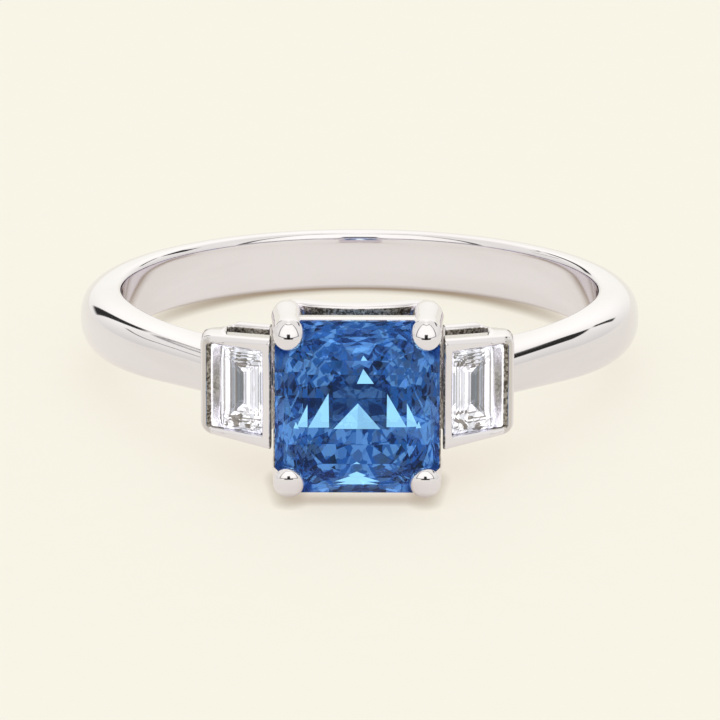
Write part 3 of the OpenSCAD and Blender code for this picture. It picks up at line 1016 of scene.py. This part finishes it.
centreStone = makePiece(
    "centreStone", [centreStoneShell()], sapphireMaterial(), ["centre_stone"], smooth=False,
    marks={"behind": behindGirdle},
)
numberFaces(centreStone.data)
diamond = diamondMaterial()
for name, node, side in (("rightStone", "right_side_stone", 1.0), ("leftStone", "left_side_stone", -1.0)):
    makePiece(
        name, [onSide(sideStoneShell(), side)], diamond, [node], smooth=False,
        marks={"behind": behindSideGirdle},
    )
print("stones made")


studio = {
    "floorHalf": 1.5,  # metres
    "floorColour": (0.20, 0.26, 0.27, 1.0),
    "floorGrain": (0.195, 0.255, 0.265, 1.0),
    "grain": (900.0, 3.0),  # scale per metre, and detail
    "grainTones": (0.2, 0.8),
    "floorLift": (0.985, 0.868, 0.739, 1.0),
    "floorShade": (0.38, 0.26, 0.16, 1.0),  # right under the ring
    "floorGlow": 0.75,
    "floorRoughness": 0.9,
    "contact": 0.0005,  # metres within which the ring shades the floor's glow
    "contactSamples": 8,
    "skyColour": (1.0, 0.995, 0.90, 1.0),
    "sideLight": 1.03,
    "topLight": 1.25,
    "topFade": (-0.1, 0.5),  # sines of the elevations between which it sets in
    "sides": 0.78,  # share of the light left at both sides
    "sidesAt": 100,  # azimuth in degrees
    "sidesFade": (15, 70),
    # azimuth, half width, elevation, half height in degrees, and how dark
    "gaps": [
        (-148, 5, 21, 15, 0.97), (-135, 16, 39, 0.35, 0.8), (-117, 13, 26, 0.9, 0.8),
        (140, 2.5, 21, 7, 0.95), (123, 15, 35, 5, 0.97), (0, 9, 14, 11, 0.97), (0, 26, 3, 4, 0.97),
    ],
    "gapSoftness": 0.15,
    "softBox": (62, 34, 40),  # half width, half height and elevation of its middle in degrees
    "boxFrame": 0.85,  # how dark its frame is
    "boxFrameEdges": (0.90, 0.94, 1.0, 1.04),  # as shares of the box
}


def makeFloor():
    # one flat square at the height of the ring's lowest point
    half = studio["floorHalf"]
    corners = [(-half, -half), (half, -half), (half, half), (-half, half)]
    mesh = bpy.data.meshes.new("floor")
    mesh.from_pydata([(x, y, cadBox[0][2]) for x, y in corners], [], [[0, 1, 2, 3]])
    material, place = newMaterial("paper")
    grain = place.noise(*studio["grain"]).stretch(*studio["grainTones"])
    samples, contact = studio["contactSamples"], studio["contact"]
    openness = place.node("ShaderNodeAmbientOcclusion", {"samples": samples}, {"Distance": contact}, 1)
    shade(place, {
        "Base Color": grain.mix(studio["floorColour"], studio["floorGrain"]),
        "Roughness": studio["floorRoughness"], "Specular IOR Level": 0.0,
        "Emission Color": openness.mix(studio["floorShade"], studio["floorLift"]),
        "Emission Strength": studio["floorGlow"],
    })
    mesh.materials.append(material)
    floor = bpy.data.objects.new("floor", mesh)
    bpy.context.scene.collection.objects.link(floor)


def makeSky():
    # a white tent; its dark gaps and the dark camera are bars in azimuth (0 in front, 90 to the
    # right) and elevation, and a thin frame goes round the front soft box
    world = bpy.data.worlds.new("studio")
    bpy.context.scene.world = world
    world.use_nodes = True
    world.node_tree.nodes.clear()
    way = Sock(world.node_tree).node("ShaderNodeTexCoord")
    east, north, up = (way.dot(Vector(axis)) for axis in ((1, 0, 0), (0, 1, 0), (0, 0, 1)))
    azimuth = east.maths("ARCTAN2", -north).maths("DEGREES")
    elevation = up.maths("ARCSINE").maths("DEGREES")
    level = up.stretch(*studio["topFade"], studio["sideLight"], studio["topLight"])
    fromSides = abs(abs(azimuth) - studio["sidesAt"])
    level = level * fromSides.stretch(*studio["sidesFade"], studio["sides"], 1.0)
    soft = studio["gapSoftness"]
    for at, halfWidth, height, halfHeight, dark in studio["gaps"]:
        inGap = azimuth.within(at, halfWidth, soft) * elevation.within(height, halfHeight, soft)
        level = level * (1 - dark * inGap)
    halfWide, halfHigh, boxMiddle = studio["softBox"]
    fromBox = abs(azimuth) * (1 / halfWide)
    fromBox = fromBox.maths("MAXIMUM", abs(elevation - boxMiddle) * (1 / halfHigh))
    inner0, inner1, outer0, outer1 = studio["boxFrameEdges"]
    boxFrame = fromBox.stretch(inner0, inner1) * (1 - fromBox.stretch(outer0, outer1))
    level = level * (1 - studio["boxFrame"] * boxFrame)
    background = way.node("ShaderNodeBackground", {}, {"Color": studio["skyColour"], "Strength": level})
    way.node("ShaderNodeOutputWorld", {}, {"Surface": background})


makeFloor()
makeSky()


cameraSet = {
    "distance": 0.180,  # metres from the ring's middle
    "aboveRing": 13.4,  # degrees above the ring's own plane
    "frame": 720,  # pixels
    "focalLength": 5016.6,  # pixels
    "originX": 359.55,  # pixel where the ring's middle lies
    "originY": 313.3,
    "roll": 0.145,  # degrees
    "sensor": 36.0,  # millimetres
}


def makeCamera():
    # looks at the ring's middle, then turns so that the middle lands on its own pixel
    lift = math.radians(cameraSet["aboveRing"] + ring["restTilt"])
    roll = math.radians(cameraSet["roll"])
    side, back = Vector((1, 0, 0)), Vector((0, -math.cos(lift), math.sin(lift)))
    above = back.cross(side)
    right = side * math.cos(roll) + above * math.sin(roll)
    up = above * math.cos(roll) - side * math.sin(roll)
    down = (cameraSet["frame"] / 2 - cameraSet["originY"]) / cameraSet["focalLength"]
    across = (cameraSet["frame"] / 2 - cameraSet["originX"]) / cameraSet["focalLength"]
    ahead = (right * across - up * down - back).normalized()
    right = ahead.cross(up).normalized()
    up = right.cross(ahead)
    data = bpy.data.cameras.new("camera")
    data.sensor_width = cameraSet["sensor"]
    data.lens = cameraSet["focalLength"] / cameraSet["frame"] * cameraSet["sensor"]
    data.clip_start, data.clip_end = 0.01, 10.0
    camera = bpy.data.objects.new("camera", data)
    turn = Matrix((right, up, -ahead)).transposed().to_4x4()
    camera.matrix_world = Matrix.Translation(back * cameraSet["distance"]) @ turn
    bpy.context.scene.collection.objects.link(camera)
    bpy.context.scene.camera = camera


makeCamera()
bpy.context.scene.view_settings.view_transform = "Standard"
print("studio and camera made")
